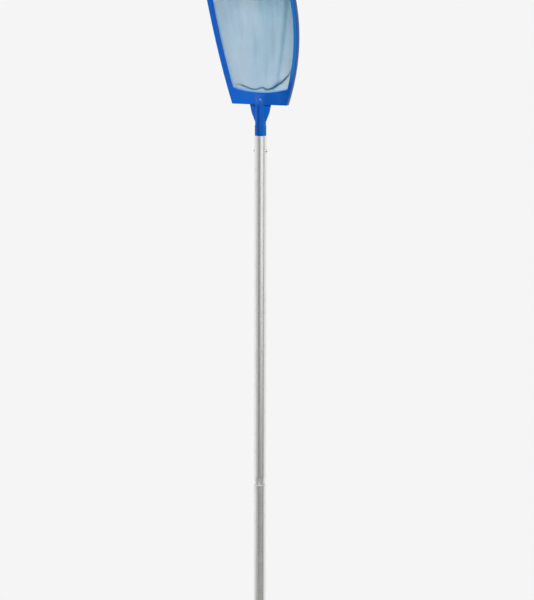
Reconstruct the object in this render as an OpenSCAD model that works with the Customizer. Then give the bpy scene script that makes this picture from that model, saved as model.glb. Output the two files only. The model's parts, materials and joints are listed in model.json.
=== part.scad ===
// Leaf skimmer net on a two-section snap-button pole.
// Millimetres, +Z up along the pole, net at the top, mouth of the net towards -Y.
// The origin is the centre of the hanging hole, below the pole's lower end.

/* [Pole] */
// Outside diameter of the pole tubes
tube_d = 30; // [28:0.5:34]
// Wall of the pole tubes
tube_wall = 2; // [1.5:0.1:2.5]
// Length of one pole section
section_length = 930; // [600:10:1200]
// Length of the reduced end that goes into the next section
male_length = 56; // [52:1:90]
// Length of the taper between the full tube and the reduced end
taper_length = 20; // [14:1:30]
// Play between a tube's bore and what is pushed into it, on the radius
fit_gap = 0.25; // [0.15:0.05:0.4]
// Number of crimped flutes round the reduced end
flute_count = 6; // [4:1:8]
// Width of a crimped flute at the mouth of the joint
flute_width = 6; // [4:0.5:7]
// Depth of a crimped flute
flute_depth = 1.3; // [0.6:0.1:1.3]
// Height of a flute's pointed end above the joint
flute_rise = 11; // [8:1:13]
// Turn of the first flute from the front of the pole
flute_turn = 15; // [0:5:45]

/* [Snap buttons] */
// Diameter of a snap button
button_d = 8; // [6:0.5:9]
// Height of a button's dome above the tube
button_proud = 3.2; // [2:0.2:4]
// Play between a button and its hole, on the radius
button_gap = 0.3; // [0.2:0.05:0.5]
// Rim of a button's flange beyond its shank
flange_rim = 1; // [0.8:0.1:1.5]
// Thickness of a button's flange
flange_t = 1.2; // [0.8:0.1:1.6]
// Distance from the head's seat down to its two buttons
head_button_drop = 38; // [30:1:50]
// Distance from the joint's mouth down to its button
joint_button_drop = 30; // [24:1:40]
// Thickness of the spring strips
spring_t = 1; // [0.6:0.1:1.4]
// Width of the spring strips
spring_w = 8; // [6:0.5:9]
// Length of a spring strip from its button to its bend
spring_length = 36; // [30:1:45]

/* [Head] */
// Width of the frame at its widest
head_w = 229.6; // [210:0.2:250]
// Width of the frame along the bottom of its cross bar
bar_w = 144; // [120:1:170]
// Height of the widest place above the bottom of the bar
widest_h = 264; // [240:1:290]
// Height of the frame's front lip above the bottom of the bar
head_h = 350; // [335:1:390]
// Radius of the front lip's bow
lip_r = 520; // [300:10:900]
// Radius of the two corners beside the lip
corner_r = 48; // [36:1:60]
// Radius of the forward sweep of the whole frame
sweep_r = 600; // [520:10:1000]
// Width of a rail, seen from the front
rail_w = 9; // [8:0.2:11]
// Depth of the rails from front to back
rail_depth = 16; // [14:0.5:20]
// Distance of the rails' front face before the pole's axis
front_y = 9; // [7:0.5:11]
// Wall of the frame moulding
frame_wall = 2; // [1.6:0.1:2.2]
// Height of the cross bar at its middle
bar_h = 29; // [24:1:36]
// Radius of the bar's hollow upper edge
bar_arc_r = 260; // [180:10:400]
// Spacing of the stiffening ribs behind the bar
rib_pitch = 15; // [10:1:24]
// Thickness of the stiffening ribs
rib_t = 1.6; // [1.2:0.2:2.4]

/* [Neck] */
// Height of the neck from the pole's top to the bottom of the bar
neck_h = 77; // [70:1:100]
// Diameter of the neck between the collar and the bar
neck_d = 27; // [26:0.5:28]
// Diameter of the collar that sits on the pole
collar_d = 28.5; // [28:0.5:29.5]
// Height of the collar
collar_h = 21; // [16:1:28]
// Height of the bead above the collar
bead_h = 3; // [2:0.5:4]
// How far the bead stands out from the collar
bead_proud = 0.6; // [0.4:0.1:1]
// Length of the spigot inside the pole
spigot_length = 82; // [76:1:100]
// Wall of the hollow spigot
spigot_wall = 2.5; // [2:0.1:3]
// Width of the two side webs where they meet the bar
web_w = 56; // [46:1:64]
// Height of the side webs
web_h = 45; // [30:1:50]
// How far a web's edge draws in on the upper half of its height
web_draw = 5; // [3:0.5:8]
// Thickness of the side webs
web_t = 5; // [4:0.5:8]
// Height of the neck's domed end above the bottom of the bar
dome_h = 22; // [15:0.5:24]

/* [Net] */
// Play round the net's edge and what clamps it
net_gap = 0.3; // [0.3:0.05:0.4]
// Thickness of the net as a solid
net_t = 1; // [0.8:0.1:1.2]
// Height of the hem cord in the frame's groove
hem_h = 3.8; // [3:0.2:4.5]
// Depth of the net bag behind the frame
bag_depth = 45; // [30:1:60]
// Distance that the bag's spine keeps from the bar and from the lip
spine_margin = 32; // [24:1:60]

/* [End cap] */
// Thickness of the cap's flange
cap_flange = 4; // [3:0.5:6]
// Length of the cap's plug inside the tube
plug_length = 25; // [18:1:35]
// Width of the hanging tab
tab_w = 18; // [16:1:22]
// Thickness of the hanging tab
tab_t = 5; // [4:0.5:7]
// Diameter of the hanging hole
hang_d = 8; // [6:0.5:9]
// Distance from the hanging hole up to the flange
tab_reach = 11; // [9:1:20]

/* [Hidden] */
$fn = 96;

tube_r = tube_d / 2;
bore_r = tube_r - tube_wall;
male_r = bore_r - fit_gap;
male_bore_r = male_r - tube_wall;
spigot_r = bore_r - fit_gap;
spigot_bore_r = spigot_r - spigot_wall;
tube_foot = tab_reach + cap_flange;
join_z = tube_foot + section_length;
pole_top = join_z + section_length - male_length;
bar_z = pole_top + neck_h;
button_r = button_d / 2;
flange_r = button_r + flange_rim;
head_button_z = pole_top - head_button_drop;
joint_button_z = join_z - joint_button_drop;
edge = 0.6;

back_y = rail_depth - front_y;
side_sag = (head_w - bar_w) / 2;
side_r = (widest_h * widest_h + side_sag * side_sag) / (2 * side_sag);
side_c = [head_w / 2 - side_r, widest_h];
lip_c = [0, head_h - lip_r];
bar_c = [0, bar_h + bar_arc_r];
corner_c = meet(side_c, side_r - corner_r, lip_c, lip_r - corner_r, 1);
side_end = angle_of(corner_c - side_c);
corner_end = angle_of(corner_c - lip_c);
groove_in = rail_w - frame_wall;
lip_step = net_t + 2 * net_gap;
ring_in = groove_in - lip_step + net_gap;
hem_front = frame_wall + 0.5 + net_gap;
hem_back = hem_front + hem_h;

sweep_step = 1.6;
sweep_steps = ceil(asin(head_h / (sweep_r - front_y)) / sweep_step) + 1;
bar_steps = 12;
side_steps = 12;
corner_steps = 6;
lip_steps = 8;

// ---- Plane geometry of the frame, in (x, height above the bar's bottom) ----

function angle_of(v) = atan2(v[1], v[0]);

// Where two circles cross; turn picks the crossing to the left (1) or right (-1) of c1 to c2.
function meet(c1, r1, c2, r2, turn) =
    let (d = norm(c2 - c1))
    let (a = (r1 * r1 - r2 * r2 + d * d) / (2 * d))
    let (h = sqrt(r1 * r1 - a * a))
    let (u = (c2 - c1) / d)
    c1 + a * u + turn * h * [-u[1], u[0]];

function arc(c, r, from, to, steps, first = 0) =
    [for (k = [first : steps]) let (t = from + (to - from) * k / steps) c + r * [cos(t), sin(t)]];

function mirrored(points) = [for (k = [len(points) - 1 : -1 : 0]) [-points[k][0], points[k][1]]];

// The right half of the frame's line at an inset from its outside, from a low point to the lip.
function right_half(inset, low_angle) = concat(
    arc(side_c, side_r - inset, low_angle, side_end, side_steps),
    arc(corner_c, corner_r - inset, side_end, corner_end, corner_steps, 1));

function lip(inset) =
    let (all = arc(lip_c, lip_r - inset, corner_end, 180 - corner_end, lip_steps, 1))
    [for (k = [0 : lip_steps - 2]) all[k]];

// The frame's outside, flat along the bottom of the bar.
function outside(inset) =
    let (half = right_half(inset, asin((inset - widest_h) / (side_r - inset))))
    concat(half, lip(inset), mirrored(half));

// A closed line inside the frame at an inset; inset rail_w is the edge of the opening.
function inside(inset) =
    let (r_bar = bar_arc_r + rail_w - inset)
    let (low = meet(side_c, side_r - inset, bar_c, r_bar, -1))
    let (half = right_half(inset, angle_of(low - side_c)))
    let (bar_right = angle_of(low - bar_c))
    let (bar_line = arc(bar_c, r_bar, -180 - bar_right, bar_right, bar_steps, 1))
    concat(half, lip(inset), mirrored(half), [for (k = [0 : bar_steps - 2]) bar_line[k]]);

// How far the swept frame leans forward at a height, at a distance d behind the pole's axis.
function sweep_y(h, d) = sqrt((sweep_r + d) * (sweep_r + d) - h * h) - sweep_r;

// The side view of a swept layer's face, in (y, height).
function side_line(d) =
    [for (k = [0 : sweep_steps]) let (t = sweep_step * (k - 0.05))
        [(sweep_r + d) * cos(t) - sweep_r, (sweep_r + d) * sin(t)]];

function reversed(points) = [for (k = [len(points) - 1 : -1 : 0]) points[k]];

// ---- Shared shapes ----

// Cuts a flat outline out of the swept layer between two distances behind the pole's axis.
module swept(from, to) {
    translate([0, 0, bar_z])
        intersection() {
            rotate([90, 0, 0])
                linear_extrude(height = 2 * head_h, center = true)
                    children();
            rotate([90, 0, 90])
                linear_extrude(height = 2 * head_w, center = true)
                    polygon(concat(side_line(from), reversed(side_line(to))));
        }
}

// The band between two insets of the frame, as a flat outline.
module band(outer, inner) {
    difference() {
        polygon(inside(outer));
        polygon(inside(inner));
    }
}

// A domed snap button along +Z, its flange just inside a bore.
module snap_button(bore) {
    seat = sqrt(bore * bore - flange_r * flange_r) - net_gap;
    tip = tube_r + button_proud;
    dome = button_r * 0.7;
    color("silver") {
        translate([0, 0, seat - flange_t])
            cylinder(r = flange_r, h = flange_t);
        translate([0, 0, seat - flange_t / 2])
            cylinder(r = button_r, h = tip - dome - seat + flange_t / 2);
        translate([0, 0, tip - dome])
            rotate_extrude()
                intersection() {
                    translate([0, dome - sphere_r(dome)])
                        circle(r = sphere_r(dome));
                    square([button_r, dome]);
                }
    }
}

// Radius of the ball whose cap is one button wide and dome high.
function sphere_r(dome) = (button_r * button_r + dome * dome) / (2 * dome);

// Inner face of a button's flange, measured from the axis of its bore.
function flange_face(bore) = sqrt(bore * bore - flange_r * flange_r) - net_gap - flange_t;

// A bent spring strip in the XZ plane: two legs along +Z that close in a round bend at the top.
module spring_strip(left, right) {
    straight = flange_r + 4;
    bend_r = 3;
    bend_z = spring_length - bend_r;
    centre = (right - left) / 2;
    outer = concat(
        [[right, -straight], [right, straight]],
        arc([centre, bend_z], bend_r, 0, 180, 12),
        [[-left, straight], [-left, -straight]]);
    inner = concat(
        [[right - spring_t, -straight], [right - spring_t, straight - 0.2]],
        arc([centre, bend_z], bend_r - spring_t, 0, 180, 12),
        [[spring_t - left, straight - 0.2], [spring_t - left, -straight]]);
    color("lightsteelblue")
        rotate([90, 0, 0])
            linear_extrude(height = spring_w, center = true)
                polygon(concat(outer, reversed(inner)));
}

// ---- Head ----

// The blue moulding: swept rails, ribbed cross bar, neck, collar and spigot in one piece.
module head_frame() {
    color("royalblue")
        difference() {
            union() {
                difference() {
                    swept(-front_y, back_y)
                        difference() {
                            polygon(outside(0));
                            polygon(inside(rail_w));
                        }
                    net_groove();
                    bar_pockets();
                }
                neck();
                webs();
            }
            neck_core();
            head_button_holes();
        }
}

// The groove for the hem, open to the back, with a lower inner wall for the net to pass over.
module net_groove() {
    swept(frame_wall + 0.5 - front_y, back_y + 1)
        band(frame_wall, groove_in);
    swept(back_y - lip_step, back_y + 1)
        band(groove_in - 0.1, rail_w + 1);
}

// Pockets behind the bar, with ribs left standing between them.
module bar_pockets() {
    swept(frame_wall + 0.5 - front_y, back_y + 1)
        difference() {
            polygon(outside(frame_wall));
            polygon(inside(-frame_wall));
            translate([-head_w, bar_h + side_sag])
                square([2 * head_w, head_h]);
            translate([-neck_d / 2, -1])
                square([neck_d, bar_h + side_sag]);
            for (side = [-1, 1])
                for (x = [neck_d / 2 + rib_pitch : rib_pitch : bar_w])
                    translate([side * x - rib_t / 2, -1])
                        square([rib_t, bar_h + side_sag + 2]);
        }
}

// Spigot, collar, bead and neck as one turned shape, ending in a dome on the bar.
module neck() {
    dome_z = neck_h + dome_h - neck_d / 2;
    bead_r = collar_d / 2 + bead_proud;
    translate([0, 0, pole_top])
        rotate_extrude()
            union() {
                polygon([
                    [0, -spigot_length],
                    [spigot_r - 1.5, -spigot_length],
                    [spigot_r, -spigot_length + 3],
                    [spigot_r, 0],
                    [collar_d / 2 - edge, 0],
                    [collar_d / 2, edge],
                    [collar_d / 2, collar_h],
                    [bead_r, collar_h + edge],
                    [bead_r, collar_h + bead_h - edge],
                    [neck_d / 2, collar_h + bead_h + edge],
                    [neck_d / 2, dome_z],
                    [0, dome_z]
                ]);
                intersection() {
                    translate([0, dome_z])
                        circle(r = neck_d / 2);
                    translate([0, dome_z])
                        square([neck_d / 2, neck_d / 2]);
                }
            }
}

// Two flat webs that flare from the neck to the bar.
module webs() {
    foot = neck_d / 2 - 1;
    translate([0, 0, bar_z])
        rotate([90, 0, 0])
            linear_extrude(height = web_t, center = true)
                polygon([
                    [-web_w / 2, 1],
                    [-web_w / 2 + 1, -2],
                    [-web_w / 2 + web_draw, -0.45 * web_h],
                    [-foot - 2, -web_h + 4],
                    [-foot, -web_h],
                    [foot, -web_h],
                    [foot + 2, -web_h + 4],
                    [web_w / 2 - web_draw, -0.45 * web_h],
                    [web_w / 2 - 1, -2],
                    [web_w / 2, 1]
                ]);
}

// The hollow up the middle of the spigot and neck.
module neck_core() {
    core_top = neck_h + dome_h - neck_d / 2 - 4;
    translate([0, 0, pole_top - spigot_length - 1])
        cylinder(r = spigot_bore_r, h = spigot_length + 1);
    translate([0, 0, pole_top - 0.1])
        cylinder(r1 = spigot_bore_r, r2 = spigot_bore_r - 1.5, h = core_top);
}

module head_button_holes() {
    translate([0, 0, head_button_z])
        rotate([0, 90, 0])
            cylinder(r = button_r + button_gap, h = 2 * tube_d, center = true);
}

// The spline that is pressed into the groove behind the rails and holds the net's edge.
module net_clamp_ring() {
    color("mediumblue")
        swept(hem_back + net_gap - front_y, back_y)
            band(frame_wall + net_gap, ring_in);
}

// The cord sewn into the net's edge, at the bottom of the groove.
module net_hem() {
    color("lightblue")
        swept(hem_front - front_y, hem_back - front_y)
            band(frame_wall + net_gap + 0.1, groove_in - net_gap - 0.1);
}

// The net bag: its edge comes up beside the clamp ring, crosses the inner wall and bulges back.
// Each entry is a ring: [inset from the frame's outside, share drawn in to the spine, distance d].
bag_out = back_y - net_gap;
bag_in = bag_out - net_t;
bag_rings = 8;
edge_out = ring_in + net_gap;
edge_in = groove_in - net_gap;
function drawn_in(t) = 0.86 * pow(t, 2.2);
function bulge(t) = 1 - pow(1 - t, 3);
bag_profile = concat(
    [for (k = [bag_rings : -1 : 1]) let (t = k / bag_rings)
        [rail_w, drawn_in(t), bag_out + bag_depth * bulge(t)]],
    [[rail_w, 0, bag_out], [edge_out, 0, bag_out], [edge_out, 0, hem_back + net_gap - front_y]],
    [[edge_in, 0, hem_back + net_gap - front_y], [edge_in, 0, bag_in], [rail_w + net_t, 0, bag_in]],
    [for (k = [1 : bag_rings]) let (t = k / bag_rings)
        [rail_w + net_t, drawn_in(t), bag_in + bag_depth * bulge(t)]]);

function on_spine(h) = [0, max(bar_h + spine_margin, min(head_h - rail_w - 2.4 * spine_margin, h))];
function swept_point(p, d) = [p[0], sweep_y(p[1], d), p[1]];
function bag_ring(ring) =
    [for (p = inside(ring[0])) swept_point(p + ring[1] * (on_spine(p[1]) - p), ring[2])];
function bag_middle(ring) = swept_point([0, (bar_h + head_h) / 2 - spine_margin / 2], ring[2]);

module net_bag() {
    rings = len(bag_profile);
    n = len(inside(rail_w));
    points = concat(
        [for (ring = bag_profile) each bag_ring(ring)],
        [bag_middle(bag_profile[0]), bag_middle(bag_profile[rings - 1])]);
    first = rings * n;
    last = first + 1;
    walls = [for (k = [0 : rings - 2]) for (i = [0 : n - 1])
        let (a = k * n + i, b = k * n + (i + 1) % n)
        each [[a, b, b + n], [a, b + n, a + n]]];
    outer_cap = [for (i = [0 : n - 1]) [first, (i + 1) % n, i]];
    inner_cap = [for (i = [0 : n - 1]) [last, (rings - 1) * n + i, (rings - 1) * n + (i + 1) % n]];
    color("powderblue", 0.7)
        translate([0, 0, bar_z])
            polyhedron(points, concat(walls, outer_cap, inner_cap));
}

module head_clip_spring() {
    translate([0, 0, head_button_z])
        spring_strip(flange_face(spigot_bore_r), flange_face(spigot_bore_r));
}

module head_button(side) {
    translate([0, 0, head_button_z])
        rotate([0, 90 * side, 0])
            snap_button(spigot_bore_r);
}

// ---- Pole ----

// The upper section: full width above the taper, reduced to go into the lower section.
module upper_tube() {
    color("gainsboro")
        difference() {
            rotate_extrude()
                polygon([
                    [male_bore_r, join_z - male_length],
                    [male_r - edge, join_z - male_length],
                    [male_r, join_z - male_length + edge],
                    [male_r, join_z],
                    [tube_r, join_z + taper_length],
                    [tube_r, pole_top - edge],
                    [tube_r - edge, pole_top],
                    [bore_r, pole_top],
                    [bore_r, join_z + taper_length],
                    [male_bore_r, join_z]
                ]);
            flutes();
            head_button_holes();
            joint_button_hole();
        }
}

// Crimped flutes: pointed at the top of the taper, full depth at the mouth of the joint.
module flutes() {
    slope = atan((tube_r - male_r) / taper_length);
    dive = atan(flute_depth / flute_rise);
    wide = flute_width / 2;
    for (k = [0 : flute_count - 1])
        rotate([0, 0, flute_turn + k * 360 / flute_count])
            translate([0, -male_r, join_z])
                rotate([slope + dive, 0, 0])
                    translate([0, 0, -2])
                        linear_extrude(height = flute_rise + 8)
                            polygon([[0, flute_depth], [-2 * wide, -flute_depth], [2 * wide, -flute_depth]]);
}

module joint_button_hole() {
    translate([0, 0, joint_button_z])
        rotate([-90, 0, 0])
            cylinder(r = button_r + button_gap, h = 2 * tube_d);
}

module joint_clip_spring() {
    back = flange_face(male_bore_r);
    front = sqrt(male_bore_r * male_bore_r - spring_w * spring_w / 4) - net_gap;
    translate([0, 0, joint_button_z])
        rotate([0, 0, 90])
            spring_strip(front, back);
}

module joint_button() {
    translate([0, 0, joint_button_z])
        rotate([-90, 0, 0])
            snap_button(male_bore_r);
}

module lower_tube() {
    color("gainsboro")
        difference() {
            rotate_extrude()
                polygon([
                    [bore_r, tube_foot],
                    [tube_r, tube_foot],
                    [tube_r, join_z - edge],
                    [tube_r - edge, join_z],
                    [bore_r, join_z]
                ]);
            joint_button_hole();
        }
}

// The plug that closes the pole's lower end, with a tab to hang the pole by.
module end_cap() {
    flange_edge = tube_r - 0.2;
    plug_r = bore_r - fit_gap;
    color("royalblue") {
        translate([0, 0, tube_foot])
            rotate_extrude()
                polygon([
                    [0, -cap_flange],
                    [flange_edge - 1, -cap_flange],
                    [flange_edge, -cap_flange + 1],
                    [flange_edge, 0],
                    [plug_r, 0],
                    [plug_r, plug_length - 2],
                    [plug_r - 2, plug_length],
                    [plug_r - 3, plug_length],
                    [plug_r - 3, 2],
                    [0, 2]
                ]);
        rotate([90, 0, 0])
            linear_extrude(height = tab_t, center = true)
                difference() {
                    union() {
                        circle(d = tab_w);
                        translate([-tab_w / 2, 0])
                            square([tab_w, tab_reach + cap_flange / 2]);
                    }
                    circle(d = hang_d);
                }
    }
}

head_frame();
net_clamp_ring();
net_hem();
net_bag();
head_clip_spring();
head_button(-1);  // head_button_left
head_button(1);  // head_button_right
upper_tube();
joint_clip_spring();
joint_button();
lower_tube();
end_cap();
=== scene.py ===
import json
import math

import bmesh
import bpy
from mathutils import Matrix, Vector, noise

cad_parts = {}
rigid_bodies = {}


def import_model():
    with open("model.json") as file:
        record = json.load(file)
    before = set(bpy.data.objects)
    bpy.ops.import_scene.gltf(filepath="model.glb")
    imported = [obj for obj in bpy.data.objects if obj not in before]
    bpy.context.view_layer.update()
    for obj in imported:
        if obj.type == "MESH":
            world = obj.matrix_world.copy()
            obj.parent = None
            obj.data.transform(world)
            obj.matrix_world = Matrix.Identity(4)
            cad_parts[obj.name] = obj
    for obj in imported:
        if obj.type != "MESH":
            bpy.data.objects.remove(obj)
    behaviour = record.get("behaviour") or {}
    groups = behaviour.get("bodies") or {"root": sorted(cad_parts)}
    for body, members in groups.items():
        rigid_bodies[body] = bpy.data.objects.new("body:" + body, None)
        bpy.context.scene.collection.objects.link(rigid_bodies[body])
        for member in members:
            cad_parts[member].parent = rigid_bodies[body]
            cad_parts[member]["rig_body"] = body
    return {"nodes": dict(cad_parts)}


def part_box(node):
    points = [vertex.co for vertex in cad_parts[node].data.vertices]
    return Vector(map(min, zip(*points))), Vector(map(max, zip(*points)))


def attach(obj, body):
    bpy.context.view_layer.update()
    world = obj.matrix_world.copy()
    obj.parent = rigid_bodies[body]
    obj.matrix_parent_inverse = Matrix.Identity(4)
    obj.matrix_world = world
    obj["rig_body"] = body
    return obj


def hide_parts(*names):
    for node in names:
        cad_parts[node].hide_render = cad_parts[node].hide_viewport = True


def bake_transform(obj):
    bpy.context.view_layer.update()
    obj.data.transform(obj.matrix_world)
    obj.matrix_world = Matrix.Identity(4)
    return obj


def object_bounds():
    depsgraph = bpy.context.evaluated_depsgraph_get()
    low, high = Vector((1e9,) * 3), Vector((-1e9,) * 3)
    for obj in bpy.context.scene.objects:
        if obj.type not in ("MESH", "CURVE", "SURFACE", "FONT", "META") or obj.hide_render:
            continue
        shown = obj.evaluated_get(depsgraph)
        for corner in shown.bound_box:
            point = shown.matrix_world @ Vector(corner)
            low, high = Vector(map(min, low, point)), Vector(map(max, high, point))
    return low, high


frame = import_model()
cad_low, cad_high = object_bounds()
nodes = frame["nodes"]
bpy.ops.object.select_all(action="DESELECT")

# ---------------------------------------------------------------- Studio
# A camera a long way off, to the right of the pole and a little above it. The room is pale behind
# and beside the object and darker in front. A large soft lamp hangs above, and one stands to each
# side of the camera.

pole_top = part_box("upper_tube")[1].z
camera_azimuth = math.radians(22)
camera_elevation = math.radians(8)
camera_roll = math.radians(0.12)
metres_per_pixel = 0.00248
picture_height = 600
picture_middle_x = 267
pole_pixel_x = 260.2
camera_lens = 250
sensor_size = 36
aim_below_pole_top = 0.4098

camera_distance = picture_height * metres_per_pixel * camera_lens / sensor_size
to_camera = Vector((
    math.sin(camera_azimuth) * math.cos(camera_elevation),
    -math.cos(camera_azimuth) * math.cos(camera_elevation),
    math.sin(camera_elevation),
))
to_right = Vector((math.cos(camera_azimuth), math.sin(camera_azimuth), 0))
aim = Vector((0, 0, pole_top - aim_below_pole_top))
aim += to_right * (picture_middle_x - pole_pixel_x) * metres_per_pixel

bpy.ops.object.camera_add(location=aim + to_camera * camera_distance)
camera = bpy.context.object
camera.name = "studio_camera"
camera.rotation_mode = "QUATERNION"
camera.rotation_quaternion = (
    (-to_camera).to_track_quat("-Z", "Y") @ Matrix.Rotation(camera_roll, 4, "Z").to_quaternion()
)
camera.data.lens = camera_lens
camera.data.sensor_width = sensor_size
camera.data.clip_end = 100
bpy.context.scene.camera = camera
bpy.context.scene.view_settings.view_transform = "Standard"

lamp_dip = 0.3


def soft_lamp(name, azimuth, distance, height, width, tall, power):
    """A rectangular lamp that looks at the pole, with its azimuth measured as the camera's is."""
    turn = math.radians(azimuth)
    place = Vector((math.sin(turn) * distance, -math.cos(turn) * distance, height))
    bpy.ops.object.light_add(type="AREA", location=place)
    lamp = bpy.context.object
    lamp.name = name
    lamp.data.shape = "RECTANGLE"
    lamp.data.size = width
    lamp.data.size_y = tall
    lamp.data.energy = power
    lamp.rotation_mode = "QUATERNION"
    lamp.rotation_quaternion = (Vector((0, 0, height - lamp_dip)) - place).to_track_quat("-Z", "Y")


soft_lamp("high_lamp", azimuth=14, distance=2.9, height=3.9, width=2.2, tall=1.6, power=108)
soft_lamp("right_lamp", azimuth=52, distance=3.0, height=1.88, width=3.2, tall=2.2, power=16.5)
soft_lamp("left_lamp", azimuth=-50, distance=3.2, height=1.5, width=3.6, tall=3.2, power=14.0)


def put(tree, kind, output, settings=None, **inputs):
    """A node with its settings, and its inputs set or linked, by name or by number as i0, i1.

    Gives the named output, or all the outputs where none is named.
    """
    made = tree.nodes.new(kind)
    for name, value in (settings or {}).items():
        setattr(made, name, value)
    for name, value in inputs.items():
        by_number = name[0] == "i" and name[1:].isdigit()
        socket = made.inputs[int(name[1:]) if by_number else name.replace("_", " ")]
        if isinstance(value, bpy.types.NodeSocket):
            tree.links.new(value, socket)
        else:
            socket.default_value = value
    return made.outputs[output] if output else made.outputs


def maths(tree, operation, *values):
    """A Math node whose inputs are linked or set in turn."""
    inputs = {f"i{k}": value for k, value in enumerate(values)}
    return put(tree, "ShaderNodeMath", "Value", {"operation": operation}, **inputs)


def product(tree, share, *others):
    """Several shares multiplied."""
    for other in others:
        share = maths(tree, "MULTIPLY", share, other)
    return share


def eased(tree, value, low, high, to_low=0.0, to_high=1.0):
    """A value taken from one range to another, smoothly, and held at its ends."""
    return put(
        tree, "ShaderNodeMapRange", "Result", {"interpolation_type": "SMOOTHSTEP"},
        Value=value, From_Min=low, From_Max=high, To_Min=to_low, To_Max=to_high,
    )


def seen_rays(tree):
    """1 for the rays that see the backdrop: the camera's, and those of gloss and of glass."""
    path = put(tree, "ShaderNodeLightPath", None)
    gloss_or_glass = maths(tree, "MAXIMUM", path["Is Glossy Ray"], path["Is Transmission Ray"])
    return maths(tree, "MAXIMUM", path["Is Camera Ray"], gloss_or_glass)


def new_material(name, roughness, specular, metallic=0.0):
    """A material with its plain values; gives the material, its tree, shader and place."""
    made = bpy.data.materials.new(name)
    made.use_nodes = True
    tree = made.node_tree
    shader = tree.nodes["Principled BSDF"]
    shader.inputs["Roughness"].default_value = roughness
    shader.inputs["Specular IOR Level"].default_value = specular
    shader.inputs["Metallic"].default_value = metallic
    return made, tree, shader, put(tree, "ShaderNodeTexCoord", "Object")


backdrop_grey = (0.913, 0.913, 0.913, 1)
room_behind, room_in_front = 0.98, 0.30
darkens_from, dark_from = -0.14, 0.28
dark_side_azimuth = math.radians(15)
dark_side = (math.sin(dark_side_azimuth), -math.cos(dark_side_azimuth), 0)

world = bpy.data.worlds.new("studio_world")
bpy.context.scene.world = world
world.use_nodes = True
room = world.node_tree
room.nodes.clear()
towards_dark = put(
    room, "ShaderNodeVectorMath", "Value", {"operation": "DOT_PRODUCT"},
    i0=put(room, "ShaderNodeTexCoord", "Generated"), i1=dark_side,
)
room_level = eased(room, towards_dark, darkens_from, dark_from, room_behind, room_in_front)
seen_level = put(
    room, "ShaderNodeMix", "Result", Factor=put(room, "ShaderNodeLightPath", "Is Glossy Ray"),
    A=1.0, B=room_level,
)
room_surface = put(
    room, "ShaderNodeMixShader", "Shader", Fac=seen_rays(room),
    i1=put(room, "ShaderNodeBackground", "Background", Strength=room_level),
    i2=put(
        room, "ShaderNodeBackground", "Background", Color=backdrop_grey, Strength=seen_level
    ),
)
room.links.new(room_surface, room.nodes.new("ShaderNodeOutputWorld").inputs["Surface"])

floor_r, floor_drop = 1.7, 0.001
shadow_share, shadow_r = 0.45, 0.9
bpy.ops.mesh.primitive_circle_add(
    vertices=96, radius=floor_r, fill_type="NGON", location=(0, 0, cad_low.z - floor_drop)
)
floor = bpy.context.object
floor.name = "studio_floor"
floor_material, floor_tree, floor_shader, floor_place = new_material("studio_floor", 0.9, 0.0)
floor_shader.inputs["Base Color"].default_value = (0.85, 0.85, 0.85, 1)
from_middle = put(
    floor_tree, "ShaderNodeVectorMath", "Value", {"operation": "LENGTH"}, i0=floor_place
)
glow_share = eased(floor_tree, from_middle, shadow_r, floor_r, 1 - shadow_share, 1.0)
floor_surface = put(
    floor_tree, "ShaderNodeMixShader", "Shader",
    Fac=product(floor_tree, seen_rays(floor_tree), glow_share),
    i1=floor_shader.outputs["BSDF"],
    i2=put(floor_tree, "ShaderNodeEmission", "Emission", Color=backdrop_grey),
)
floor_tree.links.new(floor_surface, floor_tree.nodes["Material Output"].inputs["Surface"])
floor.data.materials.append(floor_material)
bpy.ops.object.select_all(action="DESELECT")

# ---------------------------------------------------------------- Head frame
# One injection moulding in blue polypropylene: two rails, the front lip, the cross bar and the
# hollow neck. Its edges are eased as a mould leaves them, and its skin is a little worn.

same_place = 0.00001
flat_within, crease_angle = math.radians(0.6), math.radians(32)


def eased_copy(node, name, body, width):
    """A copy of a CAD node with its edges rounded, which takes the node's place."""
    bpy.ops.object.select_all(action="DESELECT")
    nodes[node].select_set(True)
    bpy.context.view_layer.objects.active = nodes[node]
    bpy.ops.object.duplicate()
    piece = bpy.context.object
    piece.name = name
    for key in list(piece.keys()):
        del piece[key]
    bpy.ops.object.mode_set(mode="EDIT")
    bpy.ops.mesh.select_all(action="SELECT")
    bpy.ops.mesh.remove_doubles(threshold=same_place)
    bpy.ops.mesh.dissolve_limited(angle_limit=flat_within)
    bpy.ops.object.mode_set(mode="OBJECT")
    ease = piece.modifiers.new("eased_edges", "BEVEL")
    ease.limit_method = "ANGLE"
    ease.angle_limit = crease_angle
    ease.width = width
    ease.segments = 3
    bpy.ops.object.modifier_apply(modifier="eased_edges")
    bpy.ops.object.shade_smooth_by_angle(angle=crease_angle)
    piece.data.materials.clear()
    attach(piece, body)
    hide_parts(node)
    piece.select_set(False)
    return piece


def added(tree, base, *parts):
    """A value with others added to it, each given with its weight."""
    for value, weight in parts:
        base = maths(tree, "MULTIPLY_ADD", value, weight, base)
    return base


def coordinate(tree, place, axis):
    """One coordinate of a place."""
    return put(tree, "ShaderNodeSeparateXYZ", axis, Vector=place)


def distance_from(tree, place, point):
    """How far a place is from a point."""
    return put(
        tree, "ShaderNodeVectorMath", "Value", {"operation": "DISTANCE"}, i0=place, i1=point
    )


def toned(colour, share, lift=0.0):
    """A colour made darker or lighter by a share, with its alpha."""
    return [min(1, c * share + lift) for c in colour] + [1]


def blend_colour(tree, share, low, high):
    """A colour between two, by a share that changes over the surface."""
    return put(
        tree, "ShaderNodeMix", "Result", {"data_type": "RGBA"}, Factor=share, A=low, B=high
    )


def stretched(tree, place, x, y, z):
    """The place on the piece, drawn out along the axes whose numbers are small."""
    return put(tree, "ShaderNodeMapping", "Vector", Vector=place, Scale=(x, y, z))


usual_noise = (0.3, 0.7)


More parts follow.
